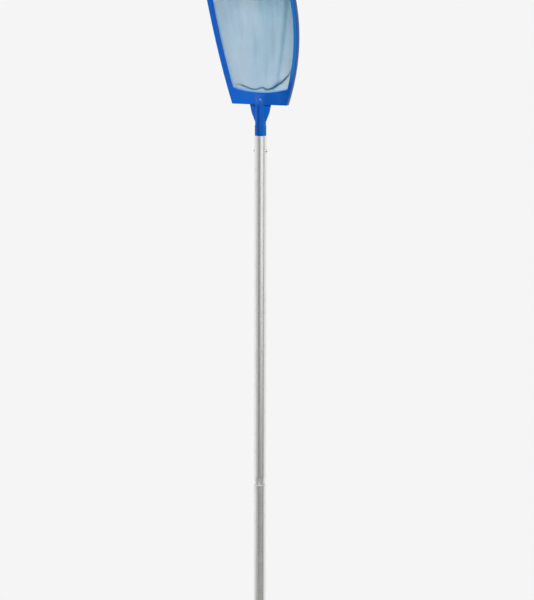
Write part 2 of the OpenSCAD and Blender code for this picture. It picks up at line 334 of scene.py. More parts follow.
def noise_of(tree, place, scale, detail=3.0, roughness=0.5):
    """Noise over the surface, most of it between the two values of usual_noise."""
    return put(
        tree, "ShaderNodeTexNoise", "Fac", Vector=place, Scale=scale, Detail=detail,
        Roughness=roughness,
    )


def new_group(name, inputs, outputs):
    """A node group with its sockets; gives its tree, its inputs and its output node."""
    tree = bpy.data.node_groups.new(name, "ShaderNodeTree")
    for label, kind, value in inputs:
        socket = tree.interface.new_socket(label, in_out="INPUT", socket_type=kind)
        if value is not None:
            socket.default_value = value
    for label in outputs:
        tree.interface.new_socket(label, in_out="OUTPUT", socket_type="NodeSocketFloat")
    return tree, tree.nodes.new("NodeGroupInput").outputs, tree.nodes.new("NodeGroupOutput").inputs


def bumped(tree, shader, height, strength, distance):
    """Small relief on the surface."""
    normal = put(
        tree, "ShaderNodeBump", "Normal", Height=height, Strength=strength, Distance=distance
    )
    tree.links.new(normal, shader.inputs["Normal"])


# Marks of handling, for every hard finish: patches of wiped dirt and thin scratches that run up
# and down the pole.
smudge_range, scratch_range = (0.46, 0.72), (0.66, 0.74)
scratch_stretch, scratch_fineness = 0.045, 22.0
handling, given, wanted = new_group(
    "handling_marks",
    [("Place", "NodeSocketVector", None), ("Size", "NodeSocketFloat", 30.0),
     ("Amount", "NodeSocketFloat", 0.5)],
    ["Smudges", "Scratches"],
)
smudge = eased(
    handling, noise_of(handling, given["Place"], given["Size"], 4.0, 0.6), *smudge_range
)
handling.links.new(product(handling, smudge, given["Amount"]), wanted["Smudges"])
drawn_out = stretched(handling, given["Place"], 1.0, 1.0, scratch_stretch)
scratch_size = product(handling, given["Size"], scratch_fineness)
scratch = eased(handling, noise_of(handling, drawn_out, scratch_size, 2.0), *scratch_range)
handling.links.new(product(handling, scratch, given["Amount"]), wanted["Scratches"])

# The skin of an injection moulding: long flow marks in the colour, a faint orange peel, and
# rubbed patches where the moulding is worn.
flow_stretch, patch_fineness, patch_range = 0.3, 5.0, (0.5, 0.68)
moulded, given, wanted = new_group(
    "moulded_skin",
    [("Place", "NodeSocketVector", None), ("Flow Size", "NodeSocketFloat", 14.0),
     ("Peel Size", "NodeSocketFloat", 420.0), ("Wear", "NodeSocketFloat", 0.3)],
    ["Flow", "Height", "Worn"],
)
along_flow = stretched(moulded, given["Place"], 1.0, 1.0, flow_stretch)
flow = noise_of(moulded, along_flow, given["Flow Size"])
moulded.links.new(eased(moulded, flow, *usual_noise), wanted["Flow"])
moulded.links.new(noise_of(moulded, given["Place"], given["Peel Size"], 1.0), wanted["Height"])
patch_size = product(moulded, given["Flow Size"], patch_fineness)
patches = noise_of(moulded, given["Place"], patch_size, 5.0)
worn = product(moulded, eased(moulded, patches, *patch_range), given["Wear"])
moulded.links.new(worn, wanted["Worn"])

side_light_reach = 0.07


def moulded_plastic(name, colour, roughness, specular, wear, marks, side_light_slope=0.0):
    """A coloured moulding: its skin, wear, handling marks, and, where asked, painted light to the
    left and painted shade to the right.
    """
    made, tree, shader, place = new_material(name, roughness, specular)
    skin = put(tree, "ShaderNodeGroup", None, {"node_tree": moulded}, Place=place, Wear=wear)
    touched = put(
        tree, "ShaderNodeGroup", None, {"node_tree": handling},
        Place=place, Size=34.0, Amount=marks,
    )
    tone = blend_colour(tree, skin["Flow"], toned(colour, 0.90), toned(colour, 1.07, 0.002))
    # Painted light towards the left side and painted shade towards the right.
    if side_light_slope:
        across = coordinate(tree, place, "X")
        tone = put(
            tree, "ShaderNodeVectorMath", "Vector", {"operation": "SCALE"}, i0=tone,
            Scale=eased(tree, across, -side_light_reach, side_light_reach, 1 + side_light_slope, 1 - side_light_slope),
        )
    tone = blend_colour(tree, skin["Worn"], tone, toned(colour, 0.8, 0.12))
    tree.links.new(tone, shader.inputs["Base Color"])
    dull = added(
        tree, roughness, (touched["Smudges"], 0.16), (touched["Scratches"], 0.2),
        (skin["Worn"], 0.3),
    )
    tree.links.new(dull, shader.inputs["Roughness"])
    bumped(tree, shader, skin["Height"], 0.12, 0.0002)
    return made


head_w, bar_w, widest_h, head_h = 0.2296, 0.144, 0.264, 0.350
lip_r, corner_r, sweep_r = 0.520, 0.048, 0.600
rail_w, rail_depth, front_y = 0.009, 0.016, 0.009
bar_h, bar_arc_r = 0.029, 0.260
bar_z = pole_top + 0.077
back_y = rail_depth - front_y

side_sag = (head_w - bar_w) / 2
side_r = (widest_h ** 2 + side_sag ** 2) / (2 * side_sag)
side_c = Vector((head_w / 2 - side_r, widest_h))
lip_c = Vector((0, head_h - lip_r))
bar_c = Vector((0, bar_h + bar_arc_r))

frame_blue = (0.002, 0.098, 0.475)
frame_plastic = moulded_plastic("blue_moulding", frame_blue, 0.17, 0.12, 0.05, 0.8, 0.18)
frame_tree = frame_plastic.node_tree
frame_shader = frame_tree.nodes["Principled BSDF"]
frame_place = put(frame_tree, "ShaderNodeTexCoord", "Object")
across = coordinate(frame_tree, frame_place, "X")
depth = coordinate(frame_tree, frame_place, "Y")
up = coordinate(frame_tree, frame_place, "Z")

# Painted light and shade on the right rail: its front is painted lighter and its outer side
# painted darker, as light falls on them.
rail_light_blue, shaded_blue = (0.012, 0.185, 0.530, 1), (0.001, 0.065, 0.320, 1)
rail_light_share, shaded_share = 0.8, 0.6
rail_across, rail_above_bar = (0.060, 0.072), (bar_z + 0.045, bar_z + 0.085)
outer_skin = (side_r - 0.0012, side_r - 0.0004)
side_centre = (side_c.x, 0, bar_z + side_c.y)
in_plane = put(frame_tree, "ShaderNodeCombineXYZ", "Vector", X=across, Y=0.0, Z=up)
outer_side = eased(frame_tree, distance_from(frame_tree, in_plane, side_centre), *outer_skin)
on_rail = product(
    frame_tree, eased(frame_tree, across, *rail_across), eased(frame_tree, up, *rail_above_bar)
)
rail_front = product(frame_tree, on_rail, maths(frame_tree, "SUBTRACT", 1.0, outer_side))
rail_side = product(frame_tree, on_rail, outer_side)

# Painted shade and light on the neck below the bar: a dark stripe of painted shade runs down its
# front, and its right flank is painted lighter.
neck_shade_blue, neck_light_blue = (0.0006, 0.038, 0.250, 1), (0.006, 0.165, 0.640, 1)
neck_shade_share, neck_light_share = 0.75, 0.75
neck_below_bar, neck_front = (bar_z + 0.002, bar_z - 0.004), (-0.001, -0.004)
line_left, line_right = (-0.0044, -0.0014), (0.0034, 0.0004)
flank_across = (0.0090, 0.0115)
on_neck = product(
    frame_tree, eased(frame_tree, up, *neck_below_bar), eased(frame_tree, depth, *neck_front)
)
on_line = product(
    frame_tree, on_neck, eased(frame_tree, across, *line_left),
    eased(frame_tree, across, *line_right),
)
on_flank = product(frame_tree, on_neck, eased(frame_tree, across, *flank_across))

# The painted light and shade of the rail and the neck are blended into the moulding's colour.
frame_tone = frame_shader.inputs["Base Color"].links[0].from_socket
for where, share, colour in (
    (rail_front, rail_light_share, rail_light_blue), (rail_side, shaded_share, shaded_blue),
    (on_line, neck_shade_share, neck_shade_blue), (on_flank, neck_light_share, neck_light_blue),
):
    frame_tone = blend_colour(frame_tree, product(frame_tree, where, share), frame_tone, colour)
frame_tree.links.new(frame_tone, frame_shader.inputs["Base Color"])

# The dome over the neck, where the mould is polished, is glossier than the rest.
dome_middle = (0, -0.006, bar_z + 0.014)
dome_edge, dome_coat = (0.011, 0.016), 0.7
from_dome = distance_from(frame_tree, frame_place, dome_middle)
polished = eased(frame_tree, from_dome, *dome_edge, dome_coat, 0.0)
frame_tree.links.new(polished, frame_shader.inputs["Coat Weight"])
frame_shader.inputs["Coat Roughness"].default_value = 0.10
head = eased_copy("head_frame", "head_moulding", "root", 0.0008)
head.data.materials.append(frame_plastic)

# ---------------------------------------------------------------- Net bag
# A shallow bag of fine knitted mesh, sewn to a hem that is trapped behind the rails. Its walls run
# back to a loose panel, whose slack has sunk and doubled over in one fold above the bar.


def meet(c1, r1, c2, r2, turn):
    """Where two circles cross, to the left (1) or right (-1) of the line from c1 to c2."""
    across = c2 - c1
    d = across.length
    along = (r1 * r1 - r2 * r2 + d * d) / (2 * d)
    off = math.sqrt(r1 * r1 - along * along)
    u = across / d
    return c1 + u * along + Vector((-u.y, u.x)) * off * turn


def angle(v):
    """The angle of a direction from the x axis."""
    return math.atan2(v.y, v.x)


def arc(c, r, start, end, steps):
    """Points along an arc, the first left out."""
    turns = [start + (end - start) * k / steps for k in range(1, steps + 1)]
    return [c + Vector((math.cos(t), math.sin(t))) * r for t in turns]


corner_c = meet(side_c, side_r - corner_r, lip_c, lip_r - corner_r, 1)
side_end = angle(corner_c - side_c)
corner_end = angle(corner_c - lip_c)
bar_steps, side_steps, corner_steps, lip_steps = 90, 96, 16, 80


def rim_line(inset):
    """A closed line inside the frame, from the bar's right end round the lip and back."""
    bar_radius = bar_arc_r + rail_w - inset
    low = meet(side_c, side_r - inset, bar_c, bar_radius, -1)
    half = [low]
    half += arc(side_c, side_r - inset, angle(low - side_c), side_end, side_steps)
    half += arc(corner_c, corner_r - inset, side_end, corner_end, corner_steps)
    top = arc(lip_c, lip_r - inset, corner_end, math.pi - corner_end, lip_steps)[:-1]
    left = [Vector((-p.x, p.y)) for p in reversed(half)]
    right_turn = angle(low - bar_c)
    bar = arc(bar_c, bar_radius, -math.pi - right_turn, right_turn, bar_steps)[:-1]
    return half + top + left + bar


def swept(x, h, d):
    """A point of the forward-swept head, at a height above the bar's bottom and a depth d."""
    return Vector((x, math.sqrt((sweep_r + d) ** 2 - h * h) - sweep_r, bar_z + h))


# The outline of the bag's back panel, in millimetres across and above the bar's lower edge, from
# the lower right corner up the right side, over the top, down the left side and along the fold.
panel_right = [(32, 47), (29, 58), (33, 80), (39, 110), (50, 165), (60, 205), (70, 256), (71, 274)]
panel_top = [(71, 274), (66, 294), (46, 308), (0, 317), (-58, 311), (-82, 299), (-90, 274)]
panel_left = [(-90, 274), (-91, 250), (-89, 205), (-83, 150), (-75, 95), (-69, 61), (-67, 43)]
panel_fold = [
    (-67, 43), (-58, 37.2), (-48, 33.6), (-40, 32.0), (-32, 31.8), (-23, 34.4), (-14, 37.4),
    (-6, 33.8), (1, 32.4), (11, 35.4), (20, 40.2), (28, 45.0), (32, 47),
]


def smooth_line(points, rounds=3):
    """A line through points in millimetres, with its inner corners cut and its ends kept."""
    line = [Vector(p) / 1000 for p in points]
    for _ in range(rounds):
        cut = [line[0]]
        for a, b in zip(line, line[1:]):
            cut += [a.lerp(b, 0.25), a.lerp(b, 0.75)]
        line = cut + [line[-1]]
    return line


def along_line(points, share):
    """The point at a share of a line's length."""
    lengths = [0.0]
    for a, b in zip(points, points[1:]):
        lengths.append(lengths[-1] + (b - a).length)
    reach = share * lengths[-1]
    for k in range(len(points) - 1):
        if reach <= lengths[k + 1]:
            step = (reach - lengths[k]) / (lengths[k + 1] - lengths[k])
            return points[k].lerp(points[k + 1], step)
    return points[-1].copy()


edge_in_rail = 0.0008
side_count = side_steps + 1 + corner_steps // 2
top_count = corner_steps // 2 * 2 + lip_steps - 1
right_line, top_line = smooth_line(panel_right), smooth_line(panel_top)
left_line, fold_line = smooth_line(panel_left), smooth_line(panel_fold)
panel = [along_line(right_line, k / side_count) for k in range(side_count)]
panel += [along_line(top_line, k / top_count) for k in range(top_count)]
panel += [along_line(left_line, k / side_count) for k in range(side_count)]
rim = rim_line(rail_w - edge_in_rail)
count = len(rim)
fold_count = count - len(panel)
panel += [along_line(fold_line, k / fold_count) for k in range(fold_count)]


def near(v, width):
    """A soft mark, 1 on a line and fading to each side of it."""
    return math.exp(-(v / width) ** 2)


normal_ease = 0.001


def line_distance(at, line):
    """The signed distance of a place from a line, the line's eased normal, and the share along."""
    nearest, v, share = None, 0.0, 0.0
    eased_normal = Vector((0, 0))
    for n, (a, b) in enumerate(zip(line, line[1:])):
        edge = b - a
        t = max(0.0, min(1.0, (at - a).dot(edge) / edge.length_squared))
        off = at - (a + edge * t)
        normal = Vector((-edge.y, edge.x)).normalized()
        eased_normal += normal / (off.length + normal_ease) ** 3
        if nearest is None or off.length < nearest:
            nearest, v, share = off.length, off.dot(normal), (n + t) / (len(line) - 1)
    return v, eased_normal.normalized(), share


slow_across, slow_up, slow_height, slow_seed = 22, 4.5, 1.5, 3.1
fine_across, fine_up, fine_height, fine_seed = 62, 7, 0.8, 8.4
wander, wander_up = 0.8, 17


def drape(x, h):
    """Soft upright waves of the loose panel, uneven from place to place."""
    slow = noise.noise((x * slow_across, h * slow_up, slow_seed))
    wandering = x * fine_across + wander * math.sin(h * wander_up)
    fine = noise.noise((wandering, h * fine_up, fine_seed))
    return slow * slow_height + fine * fine_height


bag_edge_d = back_y + 0.0013
bag_depth = 0.0425
wall_rings, panel_rings = 30, 60
panel_middle, panel_crown = Vector((-0.012, 0.165)), 0.0024
innermost_share = 0.012
panel_wave, panel_wave_rise, wall_wave = 0.0012, 4, 0.0008
# The walls bow outwards, most of all on the left, and sag where they rise from the bar.
plain_bow, left_bow, left_from, left_run = 0.45, 0.5, 0.045, 0.03
wall_sag, sag_from, sag_run = 0.0035, 0.028, 0.05
shortest_wall = 0.001


def bag_point(i, k):
    """A point of the bag, its depth, and its place in the flat weave, on ring k from the rim."""
    p, q = rim[i], panel[i]
    if k > wall_rings:
        s = (k - wall_rings) / panel_rings
        at = q.lerp(panel_middle + (q - panel_middle) * innermost_share, s)
        d = bag_edge_d + bag_depth + panel_crown * (1 - (1 - s) ** 2)
        d += panel_wave * drape(at.x, at.y) * min(1.0, s * panel_wave_rise)
        return at, d, at.copy()
    s = k / wall_rings
    left_side = max(0.0, min(1.0, (-p.x - left_from) / left_run))
    bow = plain_bow + left_bow * left_side
    inward = (1 - bow) * s + bow * (1 - math.cos(s * math.pi / 2))
    depth = (1 - bow) * s + bow * math.sin(s * math.pi / 2)
    at = p.lerp(q, inward)
    at.y -= wall_sag * math.sin(s * math.pi) * max(0.0, 1 - (p.y - sag_from) / sag_run)
    across = p - q
    outward = across.normalized() if across.length > shortest_wall else Vector((0, -1))
    flat = q + outward * math.hypot(across.length, bag_depth) * (1 - s)
    d = bag_edge_d + bag_depth * depth + wall_wave * drape(at.x, at.y) * math.sin(s * math.pi)
    return at, d, flat


# Where the cloth is gathered its holes close up: along the panel's right edge, in a few streaks,
# and more towards the upper right. A spot has a place, an upright squash, a width and an amount,
# which is negative where the cloth is drawn open.
right_tuck = smooth_line(
    [(21, 40), (26, 58), (31, 80), (37, 110), (48, 165), (58, 205), (70, 262)], 2
)
tuck_amount, tuck_width, tuck_start, tuck_rise = 0.50, 0.0062, 0.35, 6
streaks = [
    [(-2, 306), (0, 240), (-6, 180)], [(22, 306), (26, 225), (20, 150), (13, 96)],
    [(-60, 300), (-66, 225), (-64, 160)], [(2, 120), (-4, 80), (-6, 50)],
    [(46, 300), (42, 230), (38, 175)], [(-30, 200), (-28, 140), (-34, 90)],
]
streaks = [smooth_line(line, 1) for line in streaks]
streak_amount, streak_width, streak_end = 0.16, 0.0045, 0.02
spots = [
    ((0.010, 0.240), 0.5, 0.030, 0.17), ((-0.020, 0.075), 1.0, 0.030, 0.07),
    ((0.055, 0.056), 1.0, 0.022, -0.28),
]
level_x, level_h, top_from = -0.03, 0.16, 0.2
rise, right_rise, top_rise = 0.9, 1.4, 2.2
uneven_amount, uneven_across, uneven_up, uneven_seed = 0.26, 26, 9, 5.5


def gather(at):
    """How much the holes are drawn shut at a place of the bag, 0 to 1."""
    v, _, share = line_distance(at, right_tuck)
    drawn = tuck_amount * near(v, tuck_width) * min(1.0, share * tuck_rise + tuck_start)
    for line in streaks:
        v, _, share = line_distance(at, line)
        drawn += streak_amount * near(v, streak_width) * math.sin(max(streak_end, share) * math.pi)
    for (x, h), squash, width, amount in spots:
        drawn += amount * near(math.hypot(at.x - x, (at.y - h) * squash), width)
    slope = rise * (at.x - level_x) + right_rise * max(0.0, at.x - level_x)
    slope += rise * (at.y - level_h) + top_rise * max(0.0, at.y - top_from)
    uneven = noise.noise((at.x * uneven_across, at.y * uneven_up, uneven_seed))
    return drawn + uneven_amount * uneven + slope


# The one sharp fold: the slack doubles over itself above the bar and up the lower right corner.
crease = smooth_line([
    (-80, 46), (-70, 41.4), (-60, 37.4), (-50, 34.0), (-41, 31.8), (-33, 31.0), (-24, 33.2),
    (-14, 37.4), (-6, 33.0), (0, 31.6), (10, 34.8), (19, 39.8), (28, 46.2), (40, 53), (52, 63),
    (62, 70.5), (70, 80.5), (76, 92), (80.5, 104),
], 2)
crease_overlap, crease_width, crease_gap = 0.0046, 0.0023, 0.0011
crease_reach, crease_ease, gap_reach = 0.014, 0.045, 0.007
crease_top, plain_rings, rings_to_full = 0.2, 2, 6
cloth_steps = 70


def fold_over(v):
    """How far the cloth slides across the crease, which doubles it over near v = 0."""
    return -crease_overlap * (v / crease_width) * math.exp(0.5 - 0.5 * (v / crease_width) ** 2)


cloth_reach = [0.0]
for n in range(cloth_steps):
    a, b = crease_reach * n / cloth_steps, crease_reach * (n + 1) / cloth_steps
    cloth_reach.append(cloth_reach[-1] + abs(b + fold_over(b) - a - fold_over(a)))


def taken_up(v):
    """How much more cloth than room there is between the crease and a place near it."""
    reach = min(0.9999, abs(v) / crease_reach) * cloth_steps
    n = int(reach)
    length = cloth_reach[n] + (cloth_reach[n + 1] - cloth_reach[n]) * (reach - n)
    spare = length - min(abs(v), crease_reach)
    spare *= near(max(0.0, abs(v) - crease_reach), crease_ease)
    return math.copysign(spare, v)


def crease_strength(share, k):
    """How much of the full fold there is at a share of the crease's length, on ring k."""
    start, end = max(0.0, share * 16 - 0.3), min((1 - share) * 3 + 0.3, (1 - share) * 14)
    return min(1.0, start, end) * min(1.0, (k - plain_rings) / rings_to_full)


heaviest_share, heavy_reach = 0.62, 0.20
drawn_core, drawn_beside, drawn_width = 0.9, 0.5, 0.0030
shade_core, shade_beside, shade_width, shade_widening = 1.3, 0.35, 0.0026, 0.0012
beside_width, beside_offset = 0.006, 0.001


def fold_marks(v, share):
    """How far the holes close beside the crease, and its painted shade, most where it is heavy."""
    heavy = near(share - heaviest_share, heavy_reach)
    drawn = drawn_core * near(v, drawn_width)
    drawn += drawn_beside * heavy * near(v - beside_offset, beside_width)
    crease_shade = shade_core * near(v, shade_width + shade_widening * heavy)
    crease_shade += shade_beside * heavy * near(v, beside_width)
    return drawn, min(1.0, crease_shade)


bag_mesh = bpy.data.meshes.new("net_bag_cloth")
bag = bpy.data.objects.new("net_bag_cloth", bag_mesh)
bpy.context.scene.collection.objects.link(bag)
shape = bmesh.new()
uv_layer = shape.loops.layers.uv.new("weave")
# Each point keeps how far its holes are drawn shut, and the painted shade of the crease.
gather_layer = shape.verts.layers.float.new("gather")
crease_shade_layer = shape.verts.layers.float.new("crease_shade")
flats = {}
rings = []
for k in range(wall_rings + panel_rings + 1):
    ring = []
    for i in range(count):
        at, d, flat = bag_point(i, k)
        drawn, crease_shade = gather(at), 0.0
        if at.y < crease_top and k > plain_rings:
            v, normal, share = line_distance(at, crease)
            strength = crease_strength(share, k)
            flat = flat + normal * taken_up(v) * strength
            if abs(v) < crease_reach:
                at = at + normal * fold_over(v) * strength
                gap = crease_gap * strength * math.tanh(v / crease_width)
                d -= gap * near(v, gap_reach)
                fold_drawn, fold_shade = fold_marks(v, share)
                drawn += fold_drawn * strength
                crease_shade = fold_shade * strength
        vert = shape.verts.new(swept(at.x, at.y, d))
        vert[gather_layer] = drawn
        vert[crease_shade_layer] = crease_shade
        flats[vert] = flat
        ring.append(vert)
    rings.append(ring)
for outer, inner in zip(rings, rings[1:]):
    for i in range(count):
        j = (i + 1) % count
        shape.faces.new((outer[i], outer[j], inner[j], inner[i]))
middle = shape.verts.new(
    swept(panel_middle.x, panel_middle.y, bag_edge_d + bag_depth + panel_crown)
)
flats[middle] = panel_middle
for i in range(count):
    shape.faces.new((rings[-1][i], rings[-1][(i + 1) % count], middle))
bmesh.ops.recalc_face_normals(shape, faces=shape.faces)
for face in shape.faces:
    face.smooth = True
    for loop in face.loops:
        loop[uv_layer].uv = flats[loop.vert]
bag_area = sum(f.calc_area() for f in shape.faces)
shape.to_mesh(bag_mesh)
shape.free()

# The threads leave square holes, which narrow where the cloth is gathered. Gathered places are
# painted darker and greyer as painted shade, and a dark painted shade runs along the crease.
mesh_pitch = 0.00125
open_thread, shut_thread = 0.46, 0.34
thread_colour = (0.188, 0.405, 0.555)
gathered_shade_colour, gathered_shade_range, gathered_shade_share = (0.125, 0.270, 0.350, 1), (0.25, 0.85), 0.5
fold_colour = (0.012, 0.078, 0.168, 1)
net_material, net_tree, net_shader, net_place = new_material("knitted_mesh", 0.55, 0.1)
weave_place = put(net_tree, "ShaderNodeUVMap", "UV", {"uv_map": "weave"})
drawn_shut = put(net_tree, "ShaderNodeAttribute", "Fac", {"attribute_name": "gather"})
thread_width = added(net_tree, open_thread, (drawn_shut, shut_thread))
off_threads = []
for axis in ("X", "Y"):
    reach = coordinate(net_tree, weave_place, axis)
    cell = maths(net_tree, "FRACT", maths(net_tree, "DIVIDE", reach, mesh_pitch))
    off = maths(net_tree, "ABSOLUTE", maths(net_tree, "SUBTRACT", cell, 0.5))
    off_threads.append(product(net_tree, off, 2.0))
off_nearest = maths(net_tree, "MINIMUM", *off_threads)
covered = maths(net_tree, "LESS_THAN", off_nearest, thread_width)
net_tree.links.new(covered, net_shader.inputs["Alpha"])
bumped(net_tree, net_shader, maths(net_tree, "SUBTRACT", 1.0, off_nearest), 0.6, 0.0003)
uneven = eased(net_tree, noise_of(net_tree, net_place, 26.0), *usual_noise)
net_tint = blend_colour(net_tree, uneven, toned(thread_colour, 0.93), toned(thread_colour, 1.07))
gathered_shade = eased(net_tree, drawn_shut, *gathered_shade_range, 0.0, gathered_shade_share)
net_tint = blend_colour(net_tree, gathered_shade, net_tint, gathered_shade_colour)
# Painted shade along the crease.
in_fold = put(net_tree, "ShaderNodeAttribute", "Fac", {"attribute_name": "crease_shade"})
net_tint = blend_colour(net_tree, in_fold, net_tint, fold_colour)
net_tree.links.new(net_tint, net_shader.inputs["Base Color"])
bag_mesh.materials.append(net_material)
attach(bag, "root")
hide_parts("net_bag")

# ---------------------------------------------------------------- Hem
# A doubled tape of a paler blue, sewn round the bag's edge. One edge is trapped in the groove by
# the clamp ring, and the free edge stands a few millimetres into the mouth, behind the rails.

hem_section = [
    (0.0046, -0.0052), (0.0030, -0.0045), (0.0034, -0.0030), (0.0050, -0.0026), (0.0062, -0.0016),
    (0.0062, 0.0070), (0.0072, 0.0078), (0.0094, 0.0079), (0.0110, 0.0081), (0.0124, 0.0084),
]
hem_t = 0.0006
hem_lines = [rim_line(inset) for inset, _ in hem_section]
hem_mesh = bpy.data.meshes.new("net_hem_tape")
hem = bpy.data.objects.new("net_hem_tape", hem_mesh)
bpy.context.scene.collection.objects.link(hem)
shape = bmesh.new()
uv_layer = shape.loops.layers.uv.new("tape")
rows = []
for line, (_, d) in zip(hem_lines, hem_section):
    rows.append([shape.verts.new(swept(p.x, p.y, d)) for p in line])
rim_reach = [0.0]
for a, b in zip(hem_lines[-1], hem_lines[-1][1:] + hem_lines[-1][:1]):
    rim_reach.append(rim_reach[-1] + (b - a).length)
section_reach = [0.0]
for (a, b), (c, d) in zip(hem_section, hem_section[1:]):
    section_reach.append(section_reach[-1] + math.hypot(c - a, d - b))
for r in range(len(rows) - 1):
    for i in range(count):
        j = (i + 1) % count
        face = shape.faces.new((rows[r][i], rows[r][j], rows[r + 1][j], rows[r + 1][i]))
        face.smooth = True
        marks = ((i, r), (i + 1, r), (i + 1, r + 1), (i, r + 1))
        for loop, (along, across) in zip(face.loops, marks):
            loop[uv_layer].uv = (rim_reach[along], section_reach[across])
bmesh.ops.recalc_face_normals(shape, faces=shape.faces)
shape.to_mesh(hem_mesh)
shape.free()
bpy.context.view_layer.objects.active = hem
hem.select_set(True)
thick = hem.modifiers.new("doubled", "SOLIDIFY")
thick.thickness = hem_t
thick.offset = 0
bpy.ops.object.modifier_apply(modifier="doubled")
hem.select_set(False)

tape_colour, stitch_colour = (0.30, 0.53, 0.80), (0.05, 0.20, 0.55, 1)
stitch_pitch, stitch_share, stitch_thread = 0.0032, 0.7, 0.00056
stitch_line = section_reach[-1] - 0.0016
tape_material, tape_tree, tape_shader, _ = new_material("hem_tape", 0.7, 0.15)
along_tape = put(tape_tree, "ShaderNodeUVMap", "UV", {"uv_map": "tape"})
reach_along = coordinate(tape_tree, along_tape, "X")
reach_across = coordinate(tape_tree, along_tape, "Y")
cell = maths(tape_tree, "FRACT", maths(tape_tree, "DIVIDE", reach_along, stitch_pitch))
off_line = maths(tape_tree, "ABSOLUTE", maths(tape_tree, "SUBTRACT", reach_across, stitch_line))
stitch = product(
    tape_tree, maths(tape_tree, "LESS_THAN", cell, stitch_share),
    maths(tape_tree, "LESS_THAN", off_line, stitch_thread / 2),
)
weave = put(
    tape_tree, "ShaderNodeTexWave", "Fac", {"wave_type": "BANDS", "bands_direction": "DIAGONAL"},
    Vector=along_tape, Scale=420.0,
)
tape_tint = blend_colour(tape_tree, weave, toned(tape_colour, 0.92), toned(tape_colour, 1.06))
sewn = blend_colour(tape_tree, stitch, tape_tint, stitch_colour)
tape_tree.links.new(sewn, tape_shader.inputs["Base Color"])
bumped(tape_tree, tape_shader, maths(tape_tree, "ADD", weave, stitch), 0.4, 0.0002)
hem_mesh.materials.append(tape_material)
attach(hem, "root")
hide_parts("net_hem")

# ---------------------------------------------------------------- Clamp ring
# A flat moulded ring that snaps into the groove behind the rails, and traps the hem's edge there.
# Its blue is a little darker and duller than the frame's.

ring_plastic = moulded_plastic("ring_moulding", (0.002, 0.085, 0.42), 0.36, 0.15, 0.10, 0.6)
ring = eased_copy("net_clamp_ring", "clamp_ring", "root", 0.0004)
ring.data.materials.append(ring_plastic)

# ---------------------------------------------------------------- Upper tube
# Drawn and satin anodised aluminium tube. Its lower end is swaged down over a taper to fit inside
# the lower tube, which leaves six crimped flutes, and it is drilled for three snap buttons.

tube_r, bore_r, male_r, male_bore_r = 0.015, 0.013, 0.01275, 0.01075
tube_foot, join_z, male_length, taper = 0.015, 0.945, 0.056, 0.020
tube_facets, tube_smooth_angle = 144, math.radians(24)
rim_ease = 0.0004
flute_turn, flute_count = math.radians(15), 6
flute_width, flute_depth, flute_rise = 0.006, 0.0013, 0.011
flute_rings, past_flutes, flute_overrun = 11, 1.1, 0.005
hole_r, hole_band = 0.0043, 0.008
in_male_bore, in_bore, outside = 0.004, 0.008, 0.02
head_button_z, joint_button_z = pole_top - 0.038, join_z - 0.030


def drawn_tube(name, profile):
    """A round tube, drawn round its profile from one ring that is extruded and scaled."""
    bpy.ops.object.select_all(action="DESELECT")
    bpy.ops.mesh.primitive_circle_add(
        vertices=tube_facets, radius=profile[0][0], location=(0, 0, profile[0][1])
    )
    piece = bpy.context.object
    piece.name = name
    bpy.ops.object.transform_apply()
    bpy.ops.object.mode_set(mode="EDIT")
    bpy.ops.mesh.select_all(action="SELECT")
    for (r_was, z_was), (r, z) in zip(profile, profile[1:] + profile[:1]):
        bpy.ops.mesh.extrude_region_move(TRANSFORM_OT_translate={"value": (0, 0, z - z_was)})
        bpy.ops.transform.resize(value=(r / r_was, r / r_was, 1), center_override=(0, 0, z))
    bpy.ops.mesh.select_all(action="SELECT")
    bpy.ops.mesh.remove_doubles(threshold=same_place)
    bpy.ops.mesh.normals_make_consistent(inside=False)
    bpy.ops.object.mode_set(mode="OBJECT")
    return piece


def drill(piece, start, end):
    """A button hole through a tube's wall, between two points."""
    bpy.ops.object.select_all(action="DESELECT")
    axis = end - start
    bpy.ops.mesh.primitive_cylinder_add(
        vertices=48, radius=hole_r, depth=axis.length, location=(start + end) / 2,
        rotation=axis.to_track_quat("Z", "Y").to_euler(),
    )
    bit = bpy.context.object
    hole = piece.modifiers.new("hole", "BOOLEAN")
    hole.object = bit
    hole.solver = "EXACT"
    bpy.ops.object.select_all(action="DESELECT")
    piece.select_set(True)
    bpy.context.view_layer.objects.active = piece
    bpy.ops.object.modifier_apply(modifier="hole")
    bpy.data.objects.remove(bit)


def settle_tube(piece, node, body):
    """Shades a tube, and gives it its metal and the CAD node's place."""
    bpy.context.view_layer.objects.active = piece
    piece.select_set(True)
    bpy.ops.object.shade_smooth_by_angle(angle=tube_smooth_angle)
    piece.data.materials.append(aluminium)
    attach(piece, body)
    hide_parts(node)
    piece.select_set(False)


# Fine lines run along the tube as it was drawn. Dirt and scratches make it duller in patches.
dark_metal, light_metal = (0.80, 0.798, 0.79, 1), (0.90, 0.898, 0.89, 1)
smudged_metal = (0.78, 0.775, 0.765, 1)
aluminium, metal_tree, metal_shader, metal_place = new_material("satin_aluminium", 0.3, 0.5, 1.0)
draw_lines = noise_of(metal_tree, stretched(metal_tree, metal_place, 1, 1, 0.004), 900.0, 3.0, 0.6)
bands = noise_of(metal_tree, stretched(metal_tree, metal_place, 1, 1, 0.05), 60.0, 2.0)
touched = put(
    metal_tree, "ShaderNodeGroup", None, {"node_tree": handling},
    Place=metal_place, Size=42.0, Amount=0.7,
)
in_lines = eased(metal_tree, draw_lines, *usual_noise)
metal_tone = blend_colour(metal_tree, in_lines, dark_metal, light_metal)
metal_tone = blend_colour(metal_tree, touched["Smudges"], metal_tone, smudged_metal)
metal_tree.links.new(metal_tone, metal_shader.inputs["Base Color"])
satin = added(
    metal_tree, 0.20, (draw_lines, 0.10), (bands, 0.06), (touched["Smudges"], 0.10),
    (touched["Scratches"], 0.12),
)
metal_tree.links.new(satin, metal_shader.inputs["Roughness"])
bumped(metal_tree, metal_shader, draw_lines, 0.10, 0.00008)

